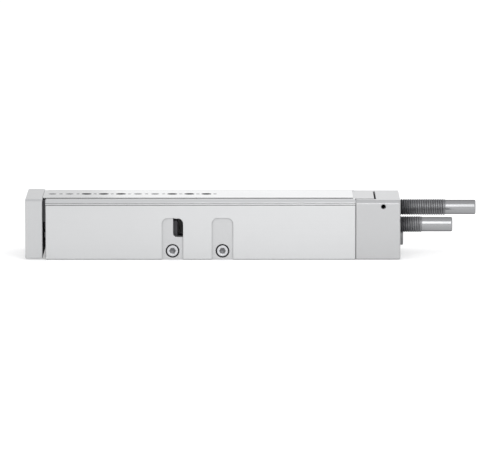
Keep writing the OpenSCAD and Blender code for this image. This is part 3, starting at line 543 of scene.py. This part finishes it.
# Painted shade in the slide's holes and along its edges next to the housing
finish("ground_steel", (0.545, 0.55, 0.555), 0.9, 0.3, ALONG, line_tone=0.06, corner_reach=0.03,
       corner_tone=3.2, joint_share=3.5)
finish("rail_steel", (0.50, 0.51, 0.53), 1.0, 0.22, ALONG, line_tone=0.08)
finish("stop_steel", (0.06, 0.06, 0.065), 0.6, 0.4, (900, 30, 900), line_tone=0.1,
       blotch_tone=0.2)
finish("zinc_steel", (0.60, 0.61, 0.63), 1.0, 0.34, EVEN_FINE, blotch_tone=0.2, broad=120.0)
finish("screw_steel", (0.58, 0.585, 0.60), 1.0, 0.3, EVEN_FINE, blotch_tone=0.15, broad=200.0)
finish("absorber_steel", (0.335, 0.338, 0.345), 1.0, 0.22, ROUND, line_tone=0.06,
       blotch_tone=0.05, Specular_Tint=(0.05, 0.05, 0.05, 1))
# Darker and rougher than the barrel, with painted shade on the threads next to the parts they are
# screwed into
finish("cut_thread", (0.28, 0.282, 0.29), 1.0, 0.42, ROUND, line_tone=0.1, blotch_tone=0.15,
       joint_reach=0.018, joint_share=1.9, Specular_Tint=(0.35, 0.35, 0.36, 1))
finish("hard_chrome", (0.74, 0.75, 0.765), 1.0, 0.12, ROUND, line_tone=0.03, blotch_tone=0.03,
       line_bump=0.05, blotch_bump=0.05)
finish("bearing_bronze", (0.52, 0.33, 0.13), 1.0, 0.3, ROUND, line_tone=0.1)
finish("cage_brass", (0.58, 0.40, 0.13), 1.0, 0.28, ALONG, line_tone=0.08)
finish("ball_steel", (0.75, 0.755, 0.765), 1.0, 0.07, EVEN, line_tone=0.02, blotch_tone=0.03,
       line_bump=0.02, blotch_bump=0.02)
finish("black_rubber", (0.018, 0.018, 0.02), 0.0, 0.62, EVEN, blotch_tone=0.3, edge_tone=0.2)
finish("buffer_plastic", (0.02, 0.02, 0.022), 0.0, 0.45, EVEN, blotch_tone=0.25, edge_tone=0.25)
finish("ring_plastic", (0.12, 0.075, 0.035), 0.0, 0.5, EVEN)
finish("magnet_black", (0.05, 0.05, 0.055), 0.4, 0.55, EVEN)
# Painted shade: the plug's grey is darkened to stand in for the shade under the lower absorber
finish("plug_aluminium", (0.25, 0.252, 0.256), 1.0, 0.3, ROUND, line_tone=0.08, blotch_tone=0.05,
       Specular_Tint=(0.3, 0.3, 0.3, 1))

for node in nodes.values():
    for material_slot in node.material_slots:
        material_slot.material = FINISHES[material_slot.material.name.split(".")[0]]
# The yoke plate and the end bracket have tones of their own, with painted shade in their joints
nodes["yoke_plate"].material_slots[0].material = FINISHES["anodised_yoke"]
nodes["end_bracket"].material_slots[0].material = FINISHES["anodised_bracket"]


# ---- pieces ----

# Socket head cap screws: shank, head, head height, key
M4 = (4 * MM, 7 * MM, 4 * MM, 3 * MM)
M5 = (5 * MM, 8.5 * MM, 5 * MM, 4 * MM)
M6 = (6 * MM, 10 * MM, 6 * MM, 5 * MM)


def screws(node, size, pitch, direction, body):
    """All the screws of one CAD node, each on the axis of its own shank."""
    axis = "xyz".index(direction[1])
    towards = direction[0] == "+"
    low, high = corners(node)
    length = (high - low)[axis] - size[2]
    parts = []
    for tip in spots(node, axis, not towards, size[0] * 1.15):
        seat = tip.copy()
        seat[axis] += length if towards else -length
        parts += [placed(part, seat, direction) for part in cap_screw(size, length, pitch)]
    piece(node + "_turned", parts, body, "screw_steel", (node,))


screws("stop_screws", M6, 1.0 * MM, "-y", "base")
screws("rear_block_screws", M4, 0.7 * MM, "+x", "base")
screws("yoke_screws", M4, 0.7 * MM, "-x", "slide_unit")
screws("rod_screw", M5, 0.8 * MM, "-x", "slide_unit")
screws("bracket_screws", M4, 0.7 * MM, "+x", "slide_unit")


def absorber(node, body):
    """Shock absorber body: a lead-in, a fine thread of constant pitch over its front part, a
    relief, a smooth polished barrel, a rounded rear edge and a hexagonal socket. The front has
    the round recess for its buffer."""
    low, high = corners(node)
    centre = middle(node)
    length = high[0] - low[0]
    outer = (high - low)[2] / 2
    smooth_length = 26 * MM
    barrel = 6.25 * MM
    pitch = 2 * MM
    depth = 0.55 * MM
    recess = 4.8 * MM
    recess_depth = 6 * MM
    bore = 2.05 * MM
    angle = np.linspace(0, TURN, 73)
    end = length - smooth_length
    along, radius = thread(0.5 * MM, end - 0.6 * MM, outer, pitch, depth, angle, lead=0.5 * MM,
                           crest=0.28)
    front = [(recess_depth + 3 * MM, 0.0), (recess_depth + 3 * MM, bore), (recess_depth, bore),
             (recess_depth, recess), (0.3 * MM, recess), (0.0, recess + 0.3 * MM),
             (0.0, outer - depth - 0.3 * MM), (0.4 * MM, outer - depth)]
    rear = [(end - 0.4 * MM, barrel), (end - 0.3 * MM, barrel), (end, barrel)]
    rear += [(length - 1.4 * MM, barrel), (length - 1.1 * MM, barrel)]
    rear += rounded(length - 1.0 * MM, barrel, length, barrel - 1.0 * MM, 6)
    socket = hexagon(4 * MM, angle)
    rear += [(length, 2.9 * MM), (length - 0.3 * MM, np.maximum(socket, 2.3 * MM)),
             (length - 0.5 * MM, socket), (length - 2.8 * MM, socket),
             (length - 3.0 * MM, 1.2 * MM), (length - 3.3 * MM, 0.0)]
    front_along, front_radius = rings(front, angle)
    rear_along, rear_radius = rings(rear, angle)
    along = np.concatenate([front_along, along, rear_along])
    radius = np.concatenate([front_radius, radius, rear_radius])
    band = np.arange(len(radius) - 1)
    threaded = (band >= len(front) - 1) & (band < len(radius) - len(rear))
    part = (*skin(along, radius, angle), np.repeat(threaded, angle.size - 1))
    part = placed(part, (low[0], centre[1], centre[2]), "+x")
    piece(node + "_turned", [part], body, "absorber_steel", (node,))


absorber("upper_absorber", "base")
absorber("lower_absorber", "slide_unit")


def end_plug():
    """Cylinder plug: a grooved nose in the bore, a shoulder, an air groove, a rounded rear edge
    and a hexagonal socket, all turned about the cylinder's axis."""
    low, high = corners("end_plug")
    centre = middle("end_plug")
    length = high[0] - low[0]
    outer = (high - low)[2] / 2
    nose_length = 6 * MM
    nose = outer - 0.5 * MM
    groove = nose_length + 11 * MM
    angle = np.linspace(0, TURN, 97)
    steps = [(0.0, 0.0), (0.0, nose - 0.6 * MM), (0.6 * MM, nose), (2.6 * MM, nose),
             (2.6 * MM, nose - 1.4 * MM), (4.6 * MM, nose - 1.4 * MM), (4.6 * MM, nose),
             (nose_length, nose), (nose_length, outer), (groove - 2.5 * MM, outer),
             (groove - 2.5 * MM, outer - 2 * MM), (groove + 2.5 * MM, outer - 2 * MM),
             (groove + 2.5 * MM, outer), (length - 1.2 * MM, outer), (length - 0.9 * MM, outer)]
    steps += rounded(length - 0.8 * MM, outer, length, outer - 0.8 * MM, 6)
    socket = hexagon(8 * MM, angle)
    steps += [(length, outer - 2.2 * MM), (length - 0.25 * MM, outer - 2.5 * MM),
              (length - 0.25 * MM, 5.2 * MM), (length - 0.5 * MM, np.minimum(socket, 4.75 * MM)),
              (length - 0.8 * MM, socket), (length - 6 * MM, socket),
              (length - 6.2 * MM, 2.8 * MM), (length - 7.2 * MM, 0.0)]
    part = placed(profile(steps, angle), (low[0], centre[1], centre[2]), "+x")
    piece("end_plug_turned", [part], "base", "plug_aluminium", ("end_plug",))


end_plug()


def buffer(node, body):
    """Moulded buffer on a plunger: a domed front, a rounded rim, a shallow waist and a foot."""
    low, high = corners(node)
    centre = middle(node)
    length = high[0] - low[0]
    outer = (high - low)[2] / 2
    angle = np.linspace(0, TURN, 49)
    dome = outer - 1.2 * MM
    steps = [(0.35 * MM * (k / 5) ** 2, dome * k / 5) for k in range(6)]
    steps += [(1.55 * MM - 1.2 * MM * math.cos(t), dome + 1.2 * MM * math.sin(t))
              for t in np.linspace(0.25, math.pi / 2, 5)]
    steps += [(2.5 * MM, outer), (2.9 * MM, outer - 0.35 * MM), (3.5 * MM, outer - 0.35 * MM),
              (3.9 * MM, outer), (length - 0.4 * MM, outer), (length, outer - 0.4 * MM),
              (length, 0.0)]
    part = placed(profile(steps, angle), (low[0], centre[1], centre[2]), "+x")
    piece(node + "_moulded", [part], body, "buffer_plastic", (node,))


buffer("upper_buffer", "upper_plunger_unit")
buffer("lower_buffer", "lower_plunger_unit")


# Tapped holes: radius of the drilled wall, thread depth, pitch
M4_HOLE = (1.65 * MM, 0.28 * MM, 0.7 * MM)
M5_HOLE = (2.1 * MM, 0.32 * MM, 0.8 * MM)
M6_HOLE = (2.5 * MM, 0.38 * MM, 1.0 * MM)
PORT = (4.4 * MM, 0.4 * MM, 1.0 * MM)


def tapped(name, body, slot, holes):
    """Thread ridges of several tapped holes: (place, direction that the hole opens to, kind of
    hole, threaded length) for each hole."""
    parts = [placed(hole_thread(*kind, length), at, direction)
             for at, direction, kind, length in holes]
    piece(name, parts, body, slot)


HOLE_PITCH = 15 * MM
HOLE_COUNT = 10
PLAIN_START = 1.3 * MM      # depth at which the thread starts in a plain hole
CENTRED_START = 2.2 * MM    # and under the counterbore of a centred one
slide_low, slide_high = corners("slide")
top_holes = []
for i in range(HOLE_COUNT):
    x = slide_low[0] + (i + 0.5) * HOLE_PITCH
    start = CENTRED_START if i % 5 >= 2 else PLAIN_START
    top_holes.append(((x, 0, slide_high[2] - start), "+z", M6_HOLE, 7 * MM))
    top_holes.append(((x + HOLE_PITCH / 2, 0, slide_high[2] - 0.3 * MM), "+z", M4_HOLE,
                      5.2 * MM))
tapped("slide_threads", "slide_unit", "ground_steel", top_holes)

yoke_low, _ = corners("yoke_plate")
tapped("yoke_threads", "slide_unit", "anodised_block",
       [((yoke_low[0] + 0.4 * MM, y, z), "-x", M6_HOLE, 14 * MM)
        for y in (-0.025, 0.025) for z in (0.0105, 0.0255)])

tapped("base_threads", "base", "anodised_housing",
       [((x, y, 0.4 * MM), "-z", M6_HOLE, 8 * MM)
        for x in (-0.1, -0.06, 0.06, 0.1) for y in (-0.0275, 0.0275)])

PORT_Z = 0.014
block_low, block_high = corners("rear_block")
tapped("block_threads", "base", "anodised_block",
       [((block_low[0] + 29 * MM, block_high[1] - 0.4 * MM, PORT_Z), "+y", PORT, 8 * MM),
        ((block_low[0] + 11 * MM, block_high[1] - 0.4 * MM, PORT_Z), "+y", PORT, 8 * MM),
        ((block_high[0] - 10 * MM, block_high[1] - 0.3 * MM, middle("upper_absorber")[2]),
         "+y", M5_HOLE, 5.5 * MM),
        ((block_high[0] - 14.8 * MM, block_low[1] + 0.3 * MM, block_high[2] - 5.6 * MM),
         "-y", M5_HOLE, 10 * MM)])


# ---- floor, light and camera ----

FLOOR_HALF = 12.0
FLOOR_Z = -0.0002
floor_mesh = bpy.data.meshes.new("floor")
floor_mesh.from_pydata([(-FLOOR_HALF, -FLOOR_HALF, FLOOR_Z), (FLOOR_HALF, -FLOOR_HALF, FLOOR_Z),
                        (FLOOR_HALF, FLOOR_HALF, FLOOR_Z), (-FLOOR_HALF, FLOOR_HALF, FLOOR_Z)],
                       [], [(0, 1, 2, 3)])
floor = bpy.data.objects.new("floor", floor_mesh)
bpy.context.scene.collection.objects.link(floor)
finish("floor", (0.7, 0.7, 0.7), 0.0, 0.8, FLOORING, line_tone=0.0, line_bump=0.0,
       fine=40.0, broad=2.0, blotch_tone=0.01, blotch_bump=0.0, edge_tone=0.0,
       corner_tone=0.0, Specular_IOR_Level=0.1)
floor_mesh.materials.append(FINISHES["floor"])


def seen_white(tree, strength):
    """Strength for the rays that show a background (camera, gloss, glass), nothing for the rest."""
    path = new(tree, "ShaderNodeLightPath")
    seen = math_node(tree, "MAXIMUM", path.outputs["Is Camera Ray"], path.outputs["Is Glossy Ray"])
    seen = math_node(tree, "MAXIMUM", seen, path.outputs["Is Transmission Ray"])
    return math_node(tree, "MULTIPLY", seen, strength)


FLOOR_WHITE = 0.4       # emission that lifts the floor to white behind the table
floor_tree = FINISHES["floor"].node_tree
floor_shader = floor_tree.nodes["Principled BSDF"]
floor_shader.inputs["Emission Color"].default_value = (1, 1, 1, 1)
floor_tree.links.new(seen_white(floor_tree, FLOOR_WHITE), floor_shader.inputs["Emission Strength"])

world = bpy.data.worlds.new("studio")
bpy.context.scene.world = world
world.use_nodes = True
sky = world.node_tree
background = sky.nodes["Background"]
place = new(sky, "ShaderNodeTexCoord")
split = new(sky, "ShaderNodeSeparateXYZ")
ramp = new(sky, "ShaderNodeValToRGB")
sky.links.new(place.outputs["Generated"], split.inputs[0])
sky.links.new(split.outputs["Z"], ramp.inputs["Fac"])
sky.links.new(ramp.outputs["Color"], background.inputs["Color"])
# White up to the lower height, then slightly greyer towards the zenith, for the chamfers
for stop, position, colour in zip(ramp.color_ramp.elements, (0.15, 0.85),
                                  ((1.0, 1.0, 1.0, 1), (0.91, 0.91, 0.92, 1))):
    stop.position = position
    stop.color = colour
background.inputs["Strength"].default_value = 1.0


def softbox(name, at, towards, size, power):
    """Rectangular lamp that points at a place on or near the table."""
    data = bpy.data.lights.new(name, "AREA")
    data.shape = "RECTANGLE"
    data.size, data.size_y = size
    data.energy = power
    lamp = bpy.data.objects.new(name, data)
    bpy.context.scene.collection.objects.link(lamp)
    lamp.location = at
    aim = np.array(towards, float) - np.array(at, float)
    yaw = math.atan2(aim[1], aim[0])
    pitch = math.atan2(math.hypot(aim[0], aim[1]), -aim[2])
    lamp.rotation_euler = (pitch, 0, yaw - math.pi / 2)
    lamp.visible_camera = False


# The front lamp lights the front faces and the barrels; it is narrow so that the slide's top, seen
# from behind, mirrors little of it. The rear lamp lights the tops. The floor lamp lights the floor
# that the front faces mirror.
softbox("front_softbox", (0.25, -0.6, 0.42), (0.23, 0, 0.04), (0.24, 0.6), 0.65)
softbox("rear_softbox", (0.3, 0.6, 0.26), (0.3, 0, 0.05), (0.8, 0.4), 0.46)
softbox("floor_softbox", (0.07, -0.42, 0.3), (0.07, -0.32, 0), (0.28, 0.2), 0.6)

camera_data = bpy.data.cameras.new("camera")
camera_data.sensor_width = 36.0
camera_data.lens = 355.4626
camera_data.clip_end = 60.0
camera = bpy.data.objects.new("camera", camera_data)
bpy.context.scene.collection.objects.link(camera)
ELEVATION = math.radians(8.02287)
DISTANCE = 4.295476
AIM = (0.043083, -0.035, 0.030514)      # a place on the near side face
camera.location = (AIM[0], AIM[1] - DISTANCE * math.cos(ELEVATION),
                   AIM[2] + DISTANCE * math.sin(ELEVATION))
camera.rotation_euler = (math.pi / 2 - ELEVATION, 0, 0)
bpy.context.scene.camera = camera
bpy.context.scene.view_settings.view_transform = "Standard"

bpy.context.view_layer.update()
